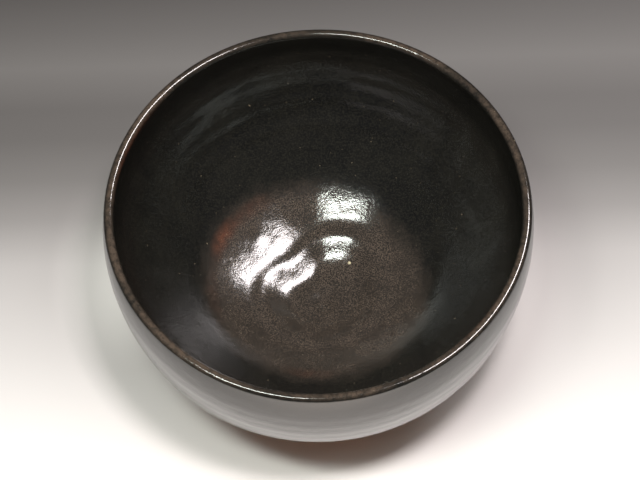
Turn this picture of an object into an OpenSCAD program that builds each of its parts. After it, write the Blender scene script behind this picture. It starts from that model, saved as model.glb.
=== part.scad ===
// Matcha bowl: a wheel-thrown stoneware tea bowl under a black iron glaze.
// Millimetres, +Z up, origin at the centre of the foot's resting face.
// Every node is a solid of revolution about the Z axis. The clay is drawn first, and each glaze
// coat is the space between the clay and the finished surface.

/* [Bowl] */
// Height from the table to the top of the lip
bowl_h = 72; // [68:0.5:78]
// Outer radius at the widest point, over the glaze
belly_r = 61; // [60:0.5:66]
// Height of the widest point above the table
belly_z = 60; // [56:0.5:62]
// Radius of the circle that runs along the middle of the lip
lip_r = 58.35; // [57.8:0.05:59]
// Thickness of the rounded lip, over the glaze
lip_t = 2.8; // [2.4:0.1:3.6]

/* [Interior] */
// Inner radius at the steep upper wall
inner_wall_r = 57.9; // [56.5:0.1:58.2]
// Height at which the inner wall is vertical
inner_wall_z = 60; // [54:0.5:62]
// Radius at which the wall turns into the floor
turn_r = 35.5; // [32:0.5:38]
// Height of that turn above the table
turn_z = 28; // [26:0.1:30]
// Height of the floor's centre above the table
floor_z = 15.2; // [15:0.1:17]
// Radius of the tea pool, the shallow hollow in the middle of the floor
pool_r = 21; // [16:0.5:24]
// Height of the soft ridge round the tea pool
pool_ridge_h = 0.6; // [0:0.05:0.8]
// Depth of the throwing rings on the inner wall
ring_depth = 0.2; // [0:0.02:0.4]
// Distance from one throwing ring to the next
ring_pitch = 8.5; // [6:0.5:12]

/* [Foot] */
// Outer radius of the foot ring where it meets the body
foot_r = 26; // [23:0.5:30]
// Height of the foot ring
foot_h = 8.5; // [6:0.5:9]
// Wall thickness of the foot ring
foot_t = 5.2; // [4:0.1:7]
// How much narrower the foot ring is at the table
foot_taper = 0.8; // [0:0.1:2]
// Bevel of the foot ring's edges at the table
foot_bevel = 0.9; // [0.4:0.1:1.4]

/* [Glaze] */
// Thickness of the glaze on the walls
glaze_t = 0.45; // [0.3:0.05:0.8]
// Extra thickness at the middle of the tea pool, where the glaze gathers
pool_extra = 0.9; // [0:0.1:1.5]
// Height above the table at which the outer glaze stops
glaze_line_z = 14; // [12:0.5:20]

/* [Hidden] */
$fn = 180;
// Facets in each stretch of a profile
wall_steps = 36;
floor_steps = 28;
rim_steps = 10;
lip_steps = 16;
// The lower wall leaves the foot at this slope. Its handles are shares of its width and height.
foot_slope = 12;
foot_reach = 0.9;
belly_reach = 0.29;
lip_round = lip_t / 2;
lip_z = bowl_h - lip_round;
// Lean of the outer and inner surfaces where they run into the lip, from the vertical
lip_lean_out = 13;
lip_lean_in = 8;
// Slope where the wall turns into the floor, and the handles on the wall's side and the floor's side
turn_slope = 35;
wall_reach = 16;
floor_reach = 11;
// Handles at the foot of the inner wall's steepest part and at the centre of the floor
upright_reach = 10;
centre_reach = 8;
// Length of the handles that lead the inner wall from the lip into its steepest part
rim_reach = 5;
// Width of the ridge round the tea pool
pool_ridge_w = 3.2;
// The underside inside the foot ring: a shallow trimmed hollow with a nub in the middle
hollow_rise = 0.9;
nub_r = 4;
nub_drop = 0.6;
hollow_edge = 3;
// Gap between the last bare point of the clay and the edge of the outer glaze
edge_gap = 0.2;
// Throwing rings fade in over this height below the lip and over this width outside the pool
ring_fade_h = 20;
ring_fade_w = 14;

// A point at an angle on a circle
function polar(centre, radius, angle) = centre + radius * [cos(angle), sin(angle)];
// A point on a cubic curve with two handles
function cubic(a, b, c, d, t) =
    pow(1 - t, 3) * a + 3 * pow(1 - t, 2) * t * b + 3 * (1 - t) * t * t * c + pow(t, 3) * d;
function curve(a, b, c, d, steps) = [for (i = [0 : steps]) cubic(a, b, c, d, i / steps)];
// A line without its first point, to follow on from the line before it
function rest(line) = [for (i = [1 : len(line) - 1]) line[i]];
function reversed(line) = [for (i = [len(line) - 1 : -1 : 0]) line[i]];
// The unit vector on the left of a line's direction at point i
function left_of(line, i) =
    let (ahead = line[min(i + 1, len(line) - 1)], behind = line[max(i - 1, 0)], run = ahead - behind)
    [-run.y, run.x] / norm(run);
// A line that keeps a distance on the left of another one. Points on the axis stay on it.
function beside(line, distances) = [
    for (i = [0 : len(line) - 1])
        let (p = line[i] + distances[i] * left_of(line, i)) [line[i].x < 0.001 ? 0 : p.x, p.y]
];
function even(line, distance) = [for (p = line) distance];
// How far along a line each of its points is
function lengths(line, i = 0, sum = 0) =
    i + 1 == len(line) ? [sum] : concat([sum], lengths(line, i + 1, sum + norm(line[i + 1] - line[i])));

// The finished outer surface, from the glaze line up to the lip
lip_outer = polar([lip_r, lip_z], lip_round, lip_lean_out);
belly = [belly_r, belly_z];
foot_top = [foot_r, foot_h];
lower_wall = curve(foot_top, polar(foot_top, foot_reach * (belly_r - foot_r), foot_slope),
    belly - [0, belly_reach * (belly_z - foot_h)], belly, wall_steps);
outer_rim = curve(belly, belly + [0, (lip_z - belly_z) / 3],
    lip_outer - (lip_z - belly_z) / 3 * [-sin(lip_lean_out), cos(lip_lean_out)], lip_outer, rim_steps);
outer_surface = concat([for (p = lower_wall) if (p.y >= glaze_line_z) p], rest(outer_rim));
outer_clay = beside(outer_surface, even(outer_surface, glaze_t));
bare_clay = [for (p = beside(lower_wall, even(lower_wall, glaze_t))) if (p.y < outer_clay[0].y - edge_gap) p];

// The finished inner surface, from the lip down to the middle of the floor
lip_inner = polar([lip_r, lip_z], lip_round, 180 + lip_lean_in);
inner_belly = [inner_wall_r, inner_wall_z];
turn = [turn_r, turn_z];
inner_rim = curve(lip_inner, lip_inner + rim_reach * [sin(lip_lean_in), -cos(lip_lean_in)],
    inner_belly + [0, rim_reach], inner_belly, rim_steps);
inner_wall = curve(inner_belly, inner_belly - [0, upright_reach],
    polar(turn, wall_reach, turn_slope), turn, wall_steps);
floor_dish = curve(turn, polar(turn, -floor_reach, turn_slope), [centre_reach, floor_z], [0, floor_z], floor_steps);
smooth_inside = concat(inner_rim, rest(inner_wall), rest(floor_dish));
inside_run = lengths(smooth_inside);
// Throwing rings fade out towards the lip and on the floor, where the pool's ridge takes over
function share(x) = min(1, max(0, x));
function ring_fade(p) = share((lip_z - p.y) / ring_fade_h) * share((p.x - pool_r) / ring_fade_w);
function pool_ridge(r) = pool_ridge_h * exp(-pow((r - pool_r) / pool_ridge_w, 2));
inner_swell = [
    for (i = [0 : len(smooth_inside) - 1])
        let (p = smooth_inside[i])
        -ring_depth * ring_fade(p) * cos(360 * inside_run[i] / ring_pitch) - pool_ridge(p.x)
];
inner_surface = beside(smooth_inside, inner_swell);
function pool_share(r) = max(0, 1 - pow(r / pool_r, 2));
inner_clay = beside(inner_surface, [for (p = inner_surface) glaze_t + pool_extra * pool_share(p.x)]);
// The first point that belongs to the tea pool
pool_start = min([for (i = [0 : len(inner_surface) - 1]) if (inner_surface[i].x <= pool_r) i]);
last = len(inner_surface) - 1;

// The lip's clay and the thin glaze over it, from the outer surface over the top to the inner one
function lip_arc(radius) = [
    for (i = [1 : lip_steps - 1])
        polar([lip_r, lip_z], radius, lip_lean_out + (180 + lip_lean_in - lip_lean_out) * i / lip_steps)
];
lip_clay_line = lip_arc(lip_round - glaze_t);
lip_surface = lip_arc(lip_round);

module turned(outline) { rotate_extrude() polygon(outline); }
function slice(line, from, to) = [for (i = [from : to]) line[i]];

// The thrown body: wall, floor and the trimmed hollow inside the foot
module clay_body() {
    foot_in = foot_r - foot_t;
    color("saddlebrown") turned(concat(
        [foot_top], bare_clay, outer_clay, lip_clay_line, inner_clay,
        [[0, foot_h - nub_drop], [nub_r, foot_h + hollow_rise],
        [foot_in - hollow_edge, foot_h + hollow_rise], [foot_in, foot_h]]));
}

// The foot ring that the bowl stands on, luted to the underside
module foot_ring() {
    out = foot_r - foot_taper;
    in = foot_r - foot_t;
    color("sienna") turned([
        [foot_r, foot_h], [in, foot_h], [in, foot_bevel], [in + foot_bevel, 0],
        [out - foot_bevel, 0], [out, foot_bevel]]);
}

// The glaze from the bare clay band up to the lip
module outer_glaze() {
    color("dimgray") turned(concat(outer_surface, reversed(outer_clay)));
}

// The thin glaze that breaks brown over the lip
module lip_glaze() {
    top = len(outer_surface) - 1;
    color("rosybrown") turned(concat(
        [outer_surface[top]], lip_surface, [inner_surface[0], inner_clay[0]],
        reversed(lip_clay_line), [outer_clay[top]]));
}

// The glaze on the inner wall and the outer part of the floor
module inner_glaze() {
    color("black") turned(concat(
        slice(inner_surface, 0, pool_start), reversed(slice(inner_clay, 0, pool_start))));
}

// The thicker glaze gathered in the tea pool
module tea_pool_glaze() {
    color("darkslategray") turned(concat(
        slice(inner_surface, pool_start, last), reversed(slice(inner_clay, pool_start, last))));
}

clay_body();
foot_ring();
outer_glaze();
lip_glaze();
inner_glaze();
tea_pool_glaze();
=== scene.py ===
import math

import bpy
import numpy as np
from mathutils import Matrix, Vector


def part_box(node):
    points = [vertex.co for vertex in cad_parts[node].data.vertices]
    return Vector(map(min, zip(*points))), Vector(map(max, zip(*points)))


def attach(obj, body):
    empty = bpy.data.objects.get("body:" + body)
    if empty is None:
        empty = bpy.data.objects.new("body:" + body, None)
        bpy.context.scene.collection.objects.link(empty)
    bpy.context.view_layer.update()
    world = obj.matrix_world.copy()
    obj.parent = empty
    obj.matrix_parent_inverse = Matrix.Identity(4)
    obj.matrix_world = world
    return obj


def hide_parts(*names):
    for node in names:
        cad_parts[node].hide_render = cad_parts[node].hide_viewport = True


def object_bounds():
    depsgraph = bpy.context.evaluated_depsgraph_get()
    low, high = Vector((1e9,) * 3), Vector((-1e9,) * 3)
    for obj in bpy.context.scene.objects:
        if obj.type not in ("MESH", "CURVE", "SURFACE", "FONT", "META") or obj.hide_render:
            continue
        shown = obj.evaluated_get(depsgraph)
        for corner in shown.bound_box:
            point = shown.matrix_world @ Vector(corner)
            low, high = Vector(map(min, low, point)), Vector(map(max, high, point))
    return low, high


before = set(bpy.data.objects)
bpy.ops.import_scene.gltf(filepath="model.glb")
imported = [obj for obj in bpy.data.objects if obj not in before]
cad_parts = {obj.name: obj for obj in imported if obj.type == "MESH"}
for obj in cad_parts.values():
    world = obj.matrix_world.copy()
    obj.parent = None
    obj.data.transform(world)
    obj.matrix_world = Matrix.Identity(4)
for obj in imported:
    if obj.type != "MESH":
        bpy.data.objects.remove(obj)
cad_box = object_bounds()

# A wheel-thrown stoneware tea bowl under a black iron glaze, on a pale studio table.
# Every surface of the bowl is a lathe form. Its outline is worked out from the frame's boxes and from
# the design's own slopes and reaches. The glazed surfaces are then moved by formulas for what the
# potter's fingers, the tools and the kiln left.
# Sizes are in metres. Angles round the bowl are azimuths: 0 at +X (right), 90 at +Y (back).

mm = 0.001


# ---------------------------------------------------------------- sizes from the frame and the design

def half_width(node):
    """Half the larger width of a CAD node, which is its outer radius."""
    low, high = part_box(node)
    return max(high.x - low.x, high.y - low.y) / 2


# Thickness of the glaze, and how much more of it gathers in the middle of the tea pool
GLAZE_T = 0.45 * mm
POOL_EXTRA = 0.9 * mm

# Radius of the lip's round, and how far the outer and inner surfaces lean where they run into it
LIP_ROUND = 1.4 * mm
LIP_LEAN_OUT = math.radians(13)
LIP_LEAN_IN = math.radians(8)

# Slopes where stretches of the outline meet, and the reaches of their curves' handles. The foot's
# reach and the belly's are shares of the lower wall's width and height.
FOOT_SLOPE = math.radians(12)
FOOT_REACH = 0.9
BELLY_REACH = 0.29
RIM_REACH = 5 * mm
UPRIGHT_REACH = 10 * mm
TURN_SLOPE = math.radians(35)
WALL_REACH = 16 * mm
FLOOR_REACH = 11 * mm
CENTRE_REACH = 8 * mm

BOWL_H = cad_box[1].z
BELLY_R = half_width("outer_glaze")
BELLY_Z = BOWL_H - 12 * mm
LIP_Z = BOWL_H - LIP_ROUND
LIP_R = half_width("lip_glaze") - LIP_ROUND * math.cos(LIP_LEAN_OUT)
INNER_WALL_R = LIP_R - 0.45 * mm
INNER_WALL_Z = BOWL_H - 12 * mm
TURN_R = 35.5 * mm
TURN_Z = 28 * mm
POOL_R = half_width("tea_pool_glaze")
FLOOR_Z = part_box("tea_pool_glaze")[0].z + GLAZE_T + POOL_EXTRA
GLAZE_LINE_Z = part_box("outer_glaze")[0].z
FOOT_R = half_width("foot_ring")
FOOT_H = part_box("foot_ring")[1].z
FOOT_IN = FOOT_R - 5.2 * mm
FOOT_BEVEL = 0.9 * mm
FOOT_TAPER = 0.8 * mm

# The trimmed hollow inside the foot, its sloping edge and the nub in its middle
HOLLOW_RISE = 0.9 * mm
HOLLOW_EDGE = 3 * mm
NUB_R = 3 * mm
NUB_DROP = 0.6 * mm

# Points round each row of a lathe form, and the distance from one row to the next
COLUMNS = 384
ROW_STEP = 0.7 * mm
AZIMUTH = np.arange(COLUMNS) * 2 * math.pi / COLUMNS


# ---------------------------------------------------------------- outlines

def cubic(a, b, c, d, count=200):
    """Points along a cubic curve, without its first."""
    t = np.linspace(0, 1, count + 1)[1:, None]
    a, b, c, d = map(np.array, (a, b, c, d))
    return (1 - t) ** 3 * a + 3 * (1 - t) ** 2 * t * b + 3 * (1 - t) * t * t * c + t**3 * d


def on_lip(angle):
    """A point of the lip's round, at an angle from straight out."""
    return np.array([LIP_R + LIP_ROUND * math.cos(angle), LIP_Z + LIP_ROUND * math.sin(angle)])


def lower_wall():
    """The outer surface from the top of the foot to the belly."""
    reach = FOOT_REACH * (BELLY_R - FOOT_R)
    start = (FOOT_R, FOOT_H)
    handle = (FOOT_R + reach * math.cos(FOOT_SLOPE), FOOT_H + reach * math.sin(FOOT_SLOPE))
    belly_handle = (BELLY_R, BELLY_Z - BELLY_REACH * (BELLY_Z - FOOT_H))
    return np.vstack([[start], cubic(start, handle, belly_handle, (BELLY_R, BELLY_Z), 400)])


def outer_rim():
    """The outer surface from the belly to the lip."""
    end = on_lip(LIP_LEAN_OUT)
    reach = (LIP_Z - BELLY_Z) / 3
    lean = np.array([-math.sin(LIP_LEAN_OUT), math.cos(LIP_LEAN_OUT)])
    return cubic((BELLY_R, BELLY_Z), (BELLY_R, BELLY_Z + reach), end - reach * lean, end)


def lip_arc():
    """The lip's round from the outer surface over the top to the inner one, without its first point."""
    angles = np.linspace(LIP_LEAN_OUT, math.pi + LIP_LEAN_IN, 80)[1:]
    return np.array([on_lip(a) for a in angles])


def inside():
    """The inner surface from the lip to the middle of the floor."""
    start = on_lip(math.pi + LIP_LEAN_IN)
    upright = np.array([INNER_WALL_R, INNER_WALL_Z])
    turn = np.array([TURN_R, TURN_Z])
    along = np.array([math.cos(TURN_SLOPE), math.sin(TURN_SLOPE)])
    lean = np.array([math.sin(LIP_LEAN_IN), -math.cos(LIP_LEAN_IN)])
    rim = cubic(start, start + RIM_REACH * lean, upright + (0, RIM_REACH), upright)
    wall = cubic(upright, upright - (0, UPRIGHT_REACH), turn + WALL_REACH * along, turn, 400)
    dish = cubic(turn, turn - FLOOR_REACH * along, (CENTRE_REACH, FLOOR_Z), (0, FLOOR_Z), 400)
    return np.vstack([rim, wall, dish])


def eased(line, reach):
    """The same line with its corners softened over a reach. Its ends stay."""
    steps = int(3 * reach / ROW_STEP)
    weights = np.exp(-((np.arange(-steps, steps + 1) * ROW_STEP / reach) ** 2))
    padded = np.vstack([2 * line[0] - line[steps:0:-1], line, 2 * line[-1] - line[-2:-steps - 2:-1]])
    soft = [np.convolve(padded[:, i], weights / weights.sum(), "valid") for i in (0, 1)]
    return np.stack(soft, axis=1)


def run_of(line):
    """How far along a line each of its points is."""
    return np.concatenate([[0], np.cumsum(np.linalg.norm(np.diff(line, axis=0), axis=1))])


def evenly(line, step):
    """The same line with points one step apart."""
    run = run_of(line)
    stations = np.linspace(0, run[-1], max(2, round(run[-1] / step)) + 1)
    return np.stack([np.interp(stations, run, line[:, i]) for i in (0, 1)], axis=1)


def out_of(line):
    """Unit normals of an outline, on its right."""
    along = np.gradient(line, axis=0)
    along /= np.linalg.norm(along, axis=1)[:, None]
    return np.stack([along[:, 1], -along[:, 0]], axis=1)


# ---------------------------------------------------------------- what hands and tools left

def bump(x, width):
    """1 at x = 0, falling smoothly to 0."""
    return np.exp(-((x / width) ** 2))


def ease(x, low, high):
    """0 below low, 1 above high, and smooth in between."""
    t = np.clip((x - low) / (high - low), 0, 1)
    return t * t * (3 - 2 * t)


def turn_from(azimuth, degrees):
    """Signed angle from a direction, in degrees, from -180 to 180."""
    return (np.degrees(azimuth) - degrees + 180) % 360 - 180


def waves(azimuth, *terms):
    """A sum of waves round the bowl. Each term is (count, height, phase in degrees)."""
    return sum(h * np.sin(n * azimuth + math.radians(p)) for n, h, p in terms)


def unevenness(azimuth):
    """How far the whole wall stands out of round."""
    return waves(azimuth, (2, 0.12 * mm, 40), (3, 0.08 * mm, 10), (5, 0.04 * mm, 200))


def spiral_turns(run_in, azimuth):
    """How many turns out from the pool's edge a point lies, along the throwing spiral."""
    return (run_in - 20 * mm) / (8 * mm) + (azimuth / (2 * math.pi) - 0.5)


def pool_edge(azimuth):
    """Distance of the tea pool's ridge from the middle of the floor. It isn't quite round."""
    return (19 - 5.5 * bump(turn_from(azimuth, 128), 36) + 1.5 * bump(turn_from(azimuth, 45), 25)) * mm


def near(r, azimuth, at_r, at_azimuth, width):
    """1 at a spot inside the bowl, falling smoothly to 0 around it."""
    aside = np.radians(turn_from(azimuth, at_azimuth)) * at_r
    return bump(aside, width) * bump(r - at_r, width)


def finger_marks(z, azimuth):
    """Soft swells and presses of the potter's fingers on the inner wall, most of them at the back."""
    # Azimuth, height, half-width in degrees, half-height and swell, with lengths in millimetres
    places = ((112, 47, 16, 4.0, 0.30), (76, 50, 12, 6.0, -0.25), (84, 37, 13, 3.0, 0.28),
              (98, 33, 10, 2.2, 0.22), (140, 44, 12, 5.0, -0.2), (318, 46, 16, 5.0, 0.3))
    marks = 0
    for at_azimuth, at_z, degrees, tall, swell in places:
        rise = z - at_z * mm - 0.06 * mm * turn_from(azimuth, at_azimuth)
        marks = marks + swell * mm * bump(turn_from(azimuth, at_azimuth), degrees) * bump(rise, tall * mm)
    return marks


def ripples(z, azimuth):
    """Slight lumps of the wall, 14 to 25 mm from one to the next."""
    height = z / mm
    first = np.sin(17 * azimuth + 0.21 * height) * np.cos(0.36 * height - 5 * azimuth)
    second = np.sin(23 * azimuth - 0.3 * height + 1) * np.cos(0.25 * height + 7 * azimuth + 2)
    return 0.05 * mm * (first + second)


def pool_ridge(beyond, azimuth):
    """The soft ridge round the tea pool, lower at the back left and lowest at the left."""
    crest = 0.55 - 0.07 * bump(turn_from(azimuth, 125), 30) - 0.22 * bump(turn_from(azimuth, 162), 18)
    pool_side, wall_side = 4.9 * mm, 2.8 * mm
    return crest * mm * bump(beyond, np.where(beyond < 0, pool_side, wall_side))


def throwing_rings(run_in, azimuth):
    """Rings that climb the inner wall in a spiral, strongest at the back."""
    turns = spiral_turns(run_in, azimuth)
    soft_ring = np.cos(2 * math.pi * turns) + 0.35 * np.cos(4 * math.pi * turns)
    return (0.03 + 0.07 * bump(turn_from(azimuth, 82), 42)) * mm * soft_ring


def swirl(r, azimuth):
    """A small hollow with a raised rim, a little off the middle of the floor."""
    from_swirl = np.hypot(r * np.cos(azimuth) - 1.5 * mm, r * np.sin(azimuth) + 2.5 * mm)
    return 0.2 * mm * bump(from_swirl - 5.5 * mm, 2.2 * mm) - 0.45 * mm * bump(from_swirl, 2.6 * mm)


def dents(r, beyond, azimuth):
    """A dent and a lump outside the pool's ridge at the back left, and a groove at the back right."""
    dent = 0.2 * mm * near(r, azimuth, 25 * mm, 139, 2.4 * mm)
    lump = 0.15 * mm * near(r, azimuth, 27 * mm, 105, 5 * mm)
    groove = 0.09 * mm * bump(beyond - 6 * mm, 2.6 * mm) * bump(turn_from(azimuth, 70), 28)
    return lump - dent - groove


def inside_relief(r, z, run_in, azimuth):
    """Relief of the inner surface, outward from the clay. run_in is the distance from the centre."""
    beyond = run_in - pool_edge(azimuth)
    hollow = -0.3 * mm * bump(beyond + 9 * mm, 5 * mm)
    floor = pool_ridge(beyond, azimuth) + hollow + swirl(r, azimuth) + dents(r, beyond, azimuth)
    on_wall = ease(run_in, 42 * mm, 52 * mm) * (1 - ease(z, 52 * mm, 66 * mm))
    wall = throwing_rings(run_in, azimuth) * on_wall
    whole = unevenness(azimuth) * ease(run_in, 20 * mm, 60 * mm)
    return floor + wall + whole + on_wall * finger_marks(z, azimuth) + on_wall * ripples(z, azimuth)


def outside_relief(z, azimuth):
    """Relief of the outer surface: throwing lines, one soft ridge and a slight unevenness."""
    turns = z / (5.5 * mm) + azimuth / (2 * math.pi)
    lines = 0.02 * mm * np.cos(2 * math.pi * turns) + 0.015 * mm * np.cos(6.4 * math.pi * turns + 1)
    ridge = 0.2 * mm * bump(z - 42 * mm - waves(azimuth, (1, 1.5 * mm, 30)), 3.5 * mm)
    return lines * ease(z, 16 * mm, 24 * mm) + ridge + unevenness(azimuth) * ease(z, 20 * mm, 50 * mm)


def lip_height(azimuth):
    """How far the lip stands above its even height."""
    return waves(azimuth, (2, 0.22 * mm, 70), (3, 0.12 * mm, 200), (7, 0.04 * mm, 15))


# ---------------------------------------------------------------- the finished skin

def section():
    """The bowl's outline from the foot over the lip to the floor, and the rows where parts meet."""
    outer = evenly(np.vstack([lower_wall(), outer_rim()]), ROW_STEP)
    lip = evenly(np.vstack([outer[-1:], lip_arc()]), ROW_STEP / 4)[1:]
    inner = eased(evenly(np.vstack([lip[-1:], inside()]), ROW_STEP), 1.3 * mm)[1:]
    line = np.vstack([outer, lip, inner])
    lip_start = len(outer) - 1
    lip_end = lip_start + len(lip)
    pool_start = lip_end + int(np.argmax(line[lip_end:, 0] < POOL_R))
    return line, lip_start, lip_end, pool_start


def shaped(line, lip_top):
    """Points of the finished surface, as rows by columns by (x, y, z)."""
    r, z = line[:, 0:1], line[:, 1:2]
    run = run_of(line)[:, None]
    azimuth = AZIMUTH[None, :]
    is_outer = np.arange(len(line))[:, None] < lip_top
    relief = np.where(is_outer, outside_relief(z, azimuth), inside_relief(r, z, run[-1] - run, azimuth))
    # The last row is one point on the axis, so it has one height
    relief[-1] = relief[-1].mean()
    # Towards the lip both faces keep their distance and only shift together
    near_lip = ease(z, LIP_Z - 9 * mm, LIP_Z - 2 * mm)
    normal = out_of(line)
    new_r = r + relief * (1 - near_lip) * normal[:, 0:1] + unevenness(azimuth) * near_lip
    new_z = z + relief * (1 - near_lip) * normal[:, 1:2] + lip_height(azimuth) * ease(z, LIP_Z / 2, LIP_Z)
    new_r = np.where(r < 1e-6, 0, new_r)
    return np.stack([new_r * np.cos(azimuth), new_r * np.sin(azimuth), new_z + 0 * azimuth], axis=2)


def normals_of(points):
    """Unit normals of a grid of points whose rows close round the bowl."""
    along = np.gradient(points, axis=0)
    across = np.roll(points, -1, axis=1) - np.roll(points, 1, axis=1)
    normal = np.cross(across, along)
    length = np.linalg.norm(normal, axis=2)[:, :, None]
    normal = normal / np.maximum(length, 1e-15)
    pole = length[:, :, 0].max(axis=1) < 1e-12
    normal[pole] = (0, 0, 1)
    return normal


# ---------------------------------------------------------------- meshes

def lathe(name, rows, normals=None, closed=True, marks=None):
    """A solid from rows of points round the axis. A row whose points coincide becomes one point.
    closed joins the last row to the first. marks are named weights for each point of each row."""
    points, picks, kept = [], [], []
    for i, row in enumerate(rows):
        is_pole = np.ptp(row, axis=0).max() < 1e-9
        count = 1 if is_pole else COLUMNS
        picks.append(np.full(COLUMNS, len(points)) if is_pole else len(points) + np.arange(COLUMNS))
        points.extend(row[:count])
        kept.append((i, count))
    faces = []
    pairs = list(zip(picks, picks[1:] + picks[:1]))
    for low, high in pairs if closed else pairs[:-1]:
        quads = np.stack([low, np.roll(low, -1), np.roll(high, -1), high], axis=1)
        faces.extend(list(dict.fromkeys(quad)) for quad in quads.tolist())
    mesh = bpy.data.meshes.new(name)
    mesh.from_pydata([tuple(p) for p in points], [], [f for f in faces if len(f) > 2])
    mesh.shade_smooth()
    for mark, weights in (marks or {}).items():
        values = np.concatenate([weights[i][:count] for i, count in kept])
        mesh.attributes.new(mark, "FLOAT", "POINT").data.foreach_set("value", values.astype(np.float32))
    if normals is not None:
        chosen = np.concatenate([normals[i][:count] for i, count in kept])
        mesh.normals_split_custom_set_from_vertices([tuple(n) for n in chosen])
    piece = bpy.data.objects.new(name, mesh)
    bpy.context.scene.collection.objects.link(piece)
    return piece


def back_rows(first, last, every=6):
    """Rows for the hidden side of a coat, from last back to first, a few apart."""
    return sorted(set(range(first, last + 1, every)) | {last}, reverse=True)


def coat(name, first, last, thickness, marks):
    """One glaze coat: the skin's rows from first to last, backed by rows a thickness below them."""
    front = list(range(first, last + 1))
    back = back_rows(first, last)
    rows = [skin[i] for i in front] + [skin[i] - thickness[i] * skin_normals[i] for i in back]
    normals = [skin_normals[i] for i in front] + [-skin_normals[i] for i in back]
    weights = {mark: [values[i] for i in front + back] for mark, values in marks.items()}
    return lathe(name, rows, normals, marks=weights)


def circle(r, z):
    """One row of a lathe form, from its radius and height."""
    return np.stack([r * np.cos(AZIMUTH), r * np.sin(AZIMUTH), z + 0 * AZIMUTH], axis=1)


line, lip_start, lip_end, pool_start = section()
last_row = len(line) - 1
lip_top = (lip_start + lip_end) // 2
skin = shaped(line, lip_top)
skin_normals = normals_of(skin)

# Each point's distance from the axis, each row's place along the outline, its distance from the
# middle of the floor and its number, for marks that follow the form
skin_r = np.hypot(skin[:, :, 0], skin[:, :, 1])
skin_run = run_of(line)
from_middle = (skin_run[-1] - skin_run)[:, None]
skin_row = np.arange(last_row + 1)[:, None]


# ---------------------------------------------------------------- the bowl's pieces

def glaze_thickness():
    """Thickness of the glaze at every point of the skin: even, but gathered in the tea pool."""
    pool = np.clip(1 - (skin_r / POOL_R) ** 2, 0, 1)
    pool[:pool_start] = 0
    return GLAZE_T + POOL_EXTRA * pool


def along_lip():
    """1 along the lip's crest, falling off on both sides."""
    return bump(skin_run - skin_run[lip_top], 1.5 * mm)[:, None] + 0 * AZIMUTH[None, :]


def at_place(azimuth, distance, width_round, width_out):
    """A soft patch of the inner surface, at an azimuth and a distance from the middle of the floor."""
    aside = np.radians(turn_from(AZIMUTH[None, :], azimuth)) * skin_r
    return bump(aside, width_round) * bump(from_middle - distance, width_out) * (skin_row > lip_top)


def sector(azimuth, degrees):
    """1 in a direction, falling smoothly to 0 on both sides of it."""
    return bump(turn_from(AZIMUTH, azimuth), degrees)


def rust():
    """Rusty patches at the edge of the floor's brown disc, and two on the lip's inner edge."""
    lip_edge = from_middle[lip_end, 0]
    on_floor = 0.75 * at_place(153, 35 * mm, 6.5 * mm, 2.2 * mm)
    on_floor = on_floor + 0.15 * at_place(190, 35 * mm, 12 * mm, 3 * mm)
    on_floor = on_floor + 0.25 * at_place(128, 34 * mm, 7 * mm, 3 * mm)
    on_floor = on_floor + 0.2 * at_place(262, 34 * mm, 9 * mm, 3 * mm)
    on_lip_edge = 0.7 * at_place(160, lip_edge, 16 * mm, 1.6 * mm)
    on_lip_edge = on_lip_edge + 0.6 * at_place(316, lip_edge, 12 * mm, 1.6 * mm)
    return on_floor + on_lip_edge


def brown_floor():
    """The browner disc on the floor. It reaches less far at the back right."""
    edge = (36 - 5.5 * sector(45, 55)) * mm
    disc = 1 - ease(skin_r - edge, -10 * mm, 6 * mm)
    disc[:lip_end] = 0
    return disc


def pitted():
    """How deep the glaze is pitted on the inner wall: deeper in two directions, smoother in three."""
    on_wall = ease(from_middle, 36 * mm, 46 * mm) * (skin_row >= lip_end)
    rough = sector(5, 40) + 1.6 * sector(222, 35)
    smooth = sector(126, 13) + 0.6 * sector(70, 12) + sector(314, 12)
    return on_wall * (1 + rough - 0.8 * smooth)


marks = {
    "lip": along_lip() * (1 + 0.5 * sector(170, 45)),
    "rust": rust(),
    "floor": brown_floor(),
    "fleck": at_place(44, 13 * mm, 0.8 * mm, 0.4 * mm),
    "pitted": pitted(),
}
thickness = glaze_thickness()[:, :, None]
edge_row = int(np.argmax(line[:, 1] >= GLAZE_LINE_Z))

outer_glaze = coat("outer_glaze_coat", edge_row, lip_start, thickness, marks)
lip_glaze = coat("lip_glaze_coat", lip_start, lip_end, thickness, marks)
inner_glaze = coat("inner_glaze_coat", lip_end, pool_start, thickness, marks)
pool_glaze = coat("tea_pool_glaze_coat", pool_start, last_row, thickness, marks)


def clay_rows():
    """The clay body from the middle of the hollow underside, out, up and over to the floor."""
    flat = np.linspace(0, FOOT_IN - HOLLOW_EDGE, 24)
    edge = np.linspace(FOOT_IN - HOLLOW_EDGE + 0.1 * mm, FOOT_IN, 4)
    slope = HOLLOW_RISE / HOLLOW_EDGE
    under = [circle(r, FOOT_H + HOLLOW_RISE - (NUB_DROP + HOLLOW_RISE) * bump(r, NUB_R)) for r in flat]
    under += [circle(r, FOOT_H + (FOOT_IN - r) * slope) for r in edge]
    under += [circle(FOOT_R, FOOT_H)]
    covered = skin - thickness * skin_normals
    # Most of the clay is hidden under the glaze, so every other row of the skin is enough
    return under + [covered[i] for i in range(1, last_row + 1, 2)] + [covered[last_row]]


def foot_rows():
    """The foot ring's outline, from its outer corner under the body, round by the inside."""
    foot_out = FOOT_R - FOOT_TAPER
    corners = [(FOOT_R, FOOT_H), (FOOT_IN, FOOT_H), (FOOT_IN, FOOT_BEVEL), (FOOT_IN + FOOT_BEVEL, 0),
               (foot_out - FOOT_BEVEL, 0), (foot_out, FOOT_BEVEL)]
    outline = evenly(np.array(corners + corners[:1]), 0.4 * mm)[:-1]
    return [circle(r, z) for r, z in reversed(outline.tolist())]


clay = lathe("clay_body_thrown", clay_rows(), closed=False)
foot = lathe("foot_ring_turned", foot_rows())


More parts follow.
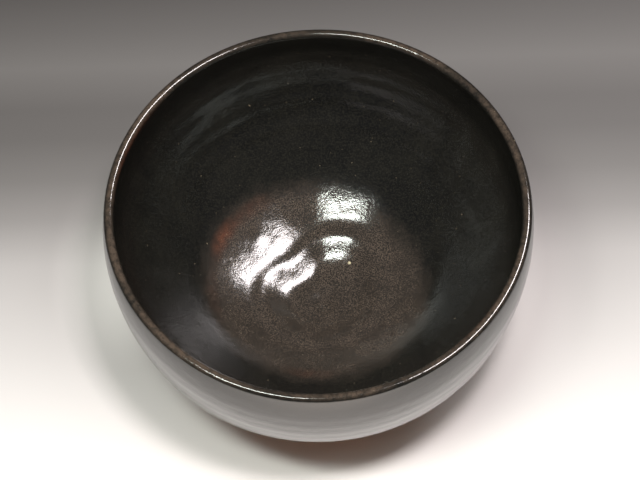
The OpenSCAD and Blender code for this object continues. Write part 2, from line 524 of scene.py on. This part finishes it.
# ---------------------------------------------------------------- materials

def linear(red, green, blue):
    """A colour given as it looks on a screen, from 0 to 255, as the renderer's linear colour."""
    shares = [c / 255 for c in (red, green, blue)]
    return tuple(((c + 0.055) / 1.055) ** 2.4 if c > 0.04045 else c / 12.92 for c in shares) + (1,)


class Nodes:
    """A short way to add and link shader nodes."""

    def __init__(self, name):
        self.material = bpy.data.materials.new(name)
        self.material.use_nodes = True
        self.tree = self.material.node_tree
        self.shader = self.tree.nodes["Principled BSDF"]
        self.place = self.add("ShaderNodeTexCoord").outputs["Object"]

    def add(self, kind, inputs=None, **settings):
        """A node with these settings, whose inputs are linked to sockets or set to values."""
        node = self.tree.nodes.new(kind)
        for key, value in settings.items():
            setattr(node, key, value)
        for key, value in (inputs or {}).items():
            if isinstance(value, bpy.types.NodeSocket):
                self.tree.links.new(value, node.inputs[key])
            else:
                node.inputs[key].default_value = value
        return node

    def noise(self, size, detail=2.0, rough=0.5, distort=0.0):
        """Noise whose features are about this size, from 0 to 1."""
        inputs = {"Vector": self.place, "Scale": 1 / size, "Detail": detail, "Roughness": rough,
                  "Distortion": distort}
        return self.add("ShaderNodeTexNoise", inputs).outputs["Fac"]

    def spread(self, value, low, high, to_low=0.0, to_high=1.0):
        """A value stretched from one range to another, and clamped."""
        inputs = {"Value": value, "From Min": low, "From Max": high, "To Min": to_low, "To Max": to_high}
        return self.add("ShaderNodeMapRange", inputs).outputs["Result"]

    def math(self, operation, *values):
        return self.add("ShaderNodeMath", dict(enumerate(values)), operation=operation).outputs[0]

    def vector(self, operation, inputs):
        return self.add("ShaderNodeVectorMath", inputs, operation=operation)

    def mix(self, share, a, b):
        """Colour a where the share is 0 and colour b where it is 1."""
        node = self.add("ShaderNodeMix", data_type="RGBA")
        for key, value in ((0, share), (6, a), (7, b)):
            if isinstance(value, bpy.types.NodeSocket):
                self.tree.links.new(value, node.inputs[key])
            else:
                node.inputs[key].default_value = value
        return node.outputs[2]

    def mark(self, name):
        """The weight that the mesh holds under this name."""
        return self.add("ShaderNodeAttribute", attribute_name=name).outputs["Fac"]

    def bump(self, height, distance, below=None):
        """A normal for relief of this height, on top of the relief below it if there is any."""
        inputs = {"Height": height, "Distance": distance, "Strength": 1.0}
        if below is not None:
            inputs["Normal"] = below
        return self.add("ShaderNodeBump", inputs).outputs["Normal"]

    def finish(self, **sockets):
        """Sets or links the shader's sockets, named with _ for a space, and gives the material."""
        for name, value in sockets.items():
            socket = self.shader.inputs[name.replace("_", " ")]
            if isinstance(value, bpy.types.NodeSocket):
                self.tree.links.new(value, socket)
            else:
                socket.default_value = value
        return self.material


GLAZE_DARK = linear(7, 7, 7)
GLAZE_BROWN = linear(24, 23, 19)
FLOOR_DARK = linear(22, 20, 18)
FLOOR_BROWN = linear(52, 45, 39)
LIP_BROWN = linear(45, 38, 32)
RUST = linear(74, 40, 26)
SPECK = linear(98, 88, 72)
FLECK = linear(130, 122, 100)


def glaze_colour(n):
    """Mottled and grained black, browner on the floor, rusty in patches and brown along the lip."""
    mottle = n.spread(n.noise(14 * mm, 4, 0.6, 0.4), 0.35, 0.7)
    grain = n.spread(n.noise(0.5 * mm, 2, 0.7), 0.46, 0.62)
    colour = n.mix(n.math("MULTIPLY", mottle, 0.3), GLAZE_DARK, GLAZE_BROWN)
    colour = n.mix(n.math("MULTIPLY", grain, 0.6), colour, GLAZE_BROWN)
    ragged = n.math("MULTIPLY_ADD", n.noise(5 * mm, 4, 0.7), 0.6, n.mark("floor"))
    floor = n.mix(n.spread(n.noise(0.36 * mm, 2, 0.7), 0.42, 0.62), FLOOR_DARK, FLOOR_BROWN)
    floor = n.mix(n.spread(n.noise(7 * mm, 3, 0.6), 0.4, 0.65, 0.0, 0.45), floor, FLOOR_DARK)
    colour = n.mix(n.spread(ragged, 0.5, 1.1), colour, floor)
    rusty = n.math("MULTIPLY", n.mark("rust"), n.spread(n.noise(2.5 * mm, 3, 0.6), 0.3, 0.6, 0.5, 1.0))
    colour = n.mix(n.spread(rusty, 0.05, 1.0, 0.0, 0.6), colour, RUST)
    broken = n.math("MULTIPLY", n.mark("lip"), n.spread(n.noise(1.6 * mm, 3, 0.7), 0.3, 0.62, 0.35, 1.0))
    broken = n.math("MULTIPLY", broken, n.spread(n.noise(22 * mm, 1), 0.38, 0.58, 0.6, 1.0))
    colour = n.mix(n.spread(broken, 0.2, 0.9), colour, LIP_BROWN)
    colour = n.mix(n.spread(n.noise(0.7 * mm, 0), 0.865, 0.885, 0.0, 0.5), colour, SPECK)
    return n.mix(n.spread(n.mark("fleck"), 0.3, 0.5), colour, FLECK)


def glaze(name, roughness, pit_depth):
    """Black iron glaze under a clear gloss with fine pits, which are deeper on parts of the wall."""
    n = Nodes(name)
    colour = glaze_colour(n)
    rough = n.spread(n.noise(3 * mm, 3, 0.6), 0.3, 0.7, 0.36, 0.44)
    pits = n.math("MULTIPLY", n.noise(0.5 * mm, 2, 0.6), n.spread(n.mark("pitted"), 0, 2.6, 1.0, 4.4))
    surface = n.bump(n.noise(4 * mm, 2, 0.5), 0.1 * mm, n.bump(pits, pit_depth))
    return n.finish(Base_Color=colour, Roughness=rough, Normal=surface, Coat_Normal=surface,
                    IOR=1.5, Specular_IOR_Level=0.0, Coat_Weight=1.0, Coat_Roughness=roughness, Coat_IOR=1.55)


def bare_clay(name, pale, dark):
    """Bare iron-bearing stoneware, in uneven shades, with coarse pale grog."""
    n = Nodes(name)
    patches = n.spread(n.noise(10 * mm, 4, 0.6), 0.3, 0.7)
    colour = n.mix(patches, dark, pale)
    grog = n.spread(n.noise(1.1 * mm, 1), 0.66, 0.72, 0.0, 0.7)
    colour = n.mix(grog, colour, linear(176, 150, 122))
    grain = n.bump(n.noise(0.5 * mm, 3, 0.7), 0.1 * mm)
    return n.finish(Base_Color=colour, Roughness=0.82, Normal=n.bump(grog, 0.12 * mm, grain))


def dress(piece, material, slot, *nodes):
    """Gives a piece its material and its body, and hides the CAD nodes it stands for. Its slot is not used.
    """
    piece.data.materials.append(material)
    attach(piece, "root")
    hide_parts(*nodes)


dress(outer_glaze, glaze("glaze_on_the_wall", 0.12, 0.02 * mm), "wall_glaze", "outer_glaze")
dress(lip_glaze, glaze("glaze_on_the_lip", 0.12, 0.02 * mm), "lip_glaze", "lip_glaze")
dress(inner_glaze, glaze("glaze_inside", 0.125, 0.03 * mm), "inside_glaze", "inner_glaze")
dress(pool_glaze, glaze("glaze_in_the_pool", 0.125, 0.03 * mm), "pool_glaze", "tea_pool_glaze")
body_clay = bare_clay("bare_stoneware", linear(188, 120, 80), linear(140, 86, 58))
foot_clay = bare_clay("foot_stoneware", linear(180, 114, 76), linear(132, 82, 56))
dress(clay, body_clay, "bare_clay", "clay_body")
dress(foot, foot_clay, "foot_clay", "foot_ring")


# ---------------------------------------------------------------- table, light and camera

def painted_light_gain(n, right, back, reach_right, reach_back, gain):
    """Gain of painted light that brightens the paper around a spot, falling to 1 at a reach either way."""
    offset = n.vector("SUBTRACT", {0: n.place, 1: (right, back, 0)}).outputs["Vector"]
    shares = n.vector("MULTIPLY", {0: offset, 1: (1 / reach_right, 1 / reach_back, 0)}).outputs["Vector"]
    away = n.vector("LENGTH", {0: shares}).outputs["Value"]
    inputs = {"Value": away, "From Min": 0, "From Max": 1, "To Min": gain, "To Max": 1}
    return n.add("ShaderNodeMapRange", inputs, interpolation_type="SMOOTHSTEP").outputs["Result"]


def table_top():
    """A wide pale sheet of paper under painted light: a painted falloff from white in front of the bowl
    to grey behind it, and painted light that lifts the bowl's shadows close to its left and right."""
    mesh = bpy.data.meshes.new("table")
    reach = 2.5
    corners = [(-reach, -reach, 0), (reach, -reach, 0), (reach, reach, 0), (-reach, reach, 0)]
    mesh.from_pydata(corners, [], [(0, 1, 2, 3)])
    top = bpy.data.objects.new("table", mesh)
    bpy.context.scene.collection.objects.link(top)
    n = Nodes("paper")
    # Painted falloff of light: the paper's shade from 0 to 255 at distances behind the bowl's axis in
    # millimetres
    painted_falloff_stops = ((-140, 212), (-110, 174), (-80, 160), (-60, 158), (-45, 152), (-10, 131), (20, 113),
              (37, 88), (52, 71), (68, 59), (80, 57), (97, 68), (112, 58), (130, 46))
    first, last = painted_falloff_stops[0][0], painted_falloff_stops[-1][0]
    y = n.add("ShaderNodeSeparateXYZ", {0: n.place}).outputs["Y"]
    ramp = n.add("ShaderNodeValToRGB", {"Fac": n.spread(y, first * mm, last * mm)})
    while len(ramp.color_ramp.elements) < len(painted_falloff_stops):
        ramp.color_ramp.elements.new(0.5)
    for stop, (behind, shade) in zip(ramp.color_ramp.elements, painted_falloff_stops):
        stop.position = (behind - first) / (last - first)
        stop.color = linear(shade, shade - 2, shade - 3)
    # Painted light beside the bowl's left and right, which lifts the shadows that the bowl casts there
    left = painted_light_gain(n, -62 * mm, 20 * mm, 27 * mm, 40 * mm, 2.1)
    right = painted_light_gain(n, 60 * mm, 14 * mm, 28 * mm, 50 * mm, 1.5)
    gain = n.math("MULTIPLY", left, right)
    paper = n.vector("SCALE", {0: ramp.outputs["Color"], "Scale": gain})
    n.finish(Base_Color=paper.outputs["Vector"], Roughness=0.6)
    mesh.materials.append(n.material)


def lamp(name, start, end, height, width, watts, colour, matt=True, gloss=True):
    """A long soft lamp at a height, facing the bowl. Its ends are given as how far they stand to
    the right and to the back of the bowl, for each unit of height. matt and gloss say whether it
    lights matt surfaces and shows in glossy ones."""
    light = bpy.data.lights.new(name, "AREA")
    light.shape, light.energy, light.color = "RECTANGLE", watts, colour
    ends = [Vector((right, back, 1)) * height for right, back in (start, end)]
    light.size, light.size_y = (ends[1] - ends[0]).length, width
    middle = (ends[0] + ends[1]) / 2
    z_axis = middle.normalized()
    y_axis = z_axis.cross(ends[1] - ends[0]).normalized()
    turn = Matrix((y_axis.cross(z_axis), y_axis, z_axis)).transposed()
    source = bpy.data.objects.new(name, light)
    source.matrix_world = Matrix.Translation(middle) @ turn.to_4x4()
    source.visible_diffuse, source.visible_glossy = matt, gloss
    source.visible_camera = False
    bpy.context.scene.collection.objects.link(source)


def room_light(strength):
    """An even, faint light from all round."""
    world = bpy.data.worlds.new("room")
    world.use_nodes = True
    world.node_tree.nodes["Background"].inputs["Color"].default_value = linear(200, 200, 205)
    world.node_tree.nodes["Background"].inputs["Strength"].default_value = strength
    bpy.context.scene.world = world


def camera():
    """The camera stands in front and above, and aims a little below the lip."""
    elevation, distance = math.radians(60.51), 0.456
    below, aside, tilt = math.radians(1.313), math.radians(-0.088), math.radians(-1.64)
    eye = bpy.data.cameras.new("camera")
    eye.lens, eye.sensor_width = 92.0, 36.0
    stand = bpy.data.objects.new("camera", eye)
    bpy.context.scene.collection.objects.link(stand)
    spot = Vector((0, -math.cos(elevation), math.sin(elevation))) * distance + Vector((0, 0, BOWL_H))
    pitch = math.pi / 2 - elevation - below
    turn = Matrix.Rotation(aside, 4, "Z") @ Matrix.Rotation(pitch, 4, "X") @ Matrix.Rotation(tilt, 4, "Z")
    stand.matrix_world = Matrix.Translation(spot) @ turn
    bpy.context.scene.camera = stand


table_top()

# The shadows and the reflections need lamps of different sizes, so most lamps serve only one of them
PINK = (1.0, 0.93, 0.93)
GREEN = (0.95, 1.0, 0.93)
lamp("pink_lamp", (0.06, -0.225), (0.18, -0.19), 0.51, 0.05, 4.5, PINK, gloss=False)
lamp("pink_window", (0.27, -0.14), (0.74, 0.50), 1.0, 0.19, 20.0, PINK, matt=False)
lamp("green_lamp", (-0.07, -0.285), (-0.30, -0.235), 0.6, 0.06, 2.8, GREEN, gloss=False)
lamp("green_window", (-0.05, -0.28), (-0.40, -0.205), 0.51, 0.034, 1.6, GREEN)
lamp("warm_fill", (-1.5, -4.0), (1.5, -4.0), 0.06, 0.04, 0.28, (1.0, 0.66, 0.43), gloss=False)
lamp("ceiling", (-0.5, 0.02), (0.5, 0.02), 1.0, 0.8, 11.0, (1.0, 0.98, 0.95), gloss=False)
room_light(0.1)
camera()
bpy.context.scene.view_settings.view_transform = "Standard"
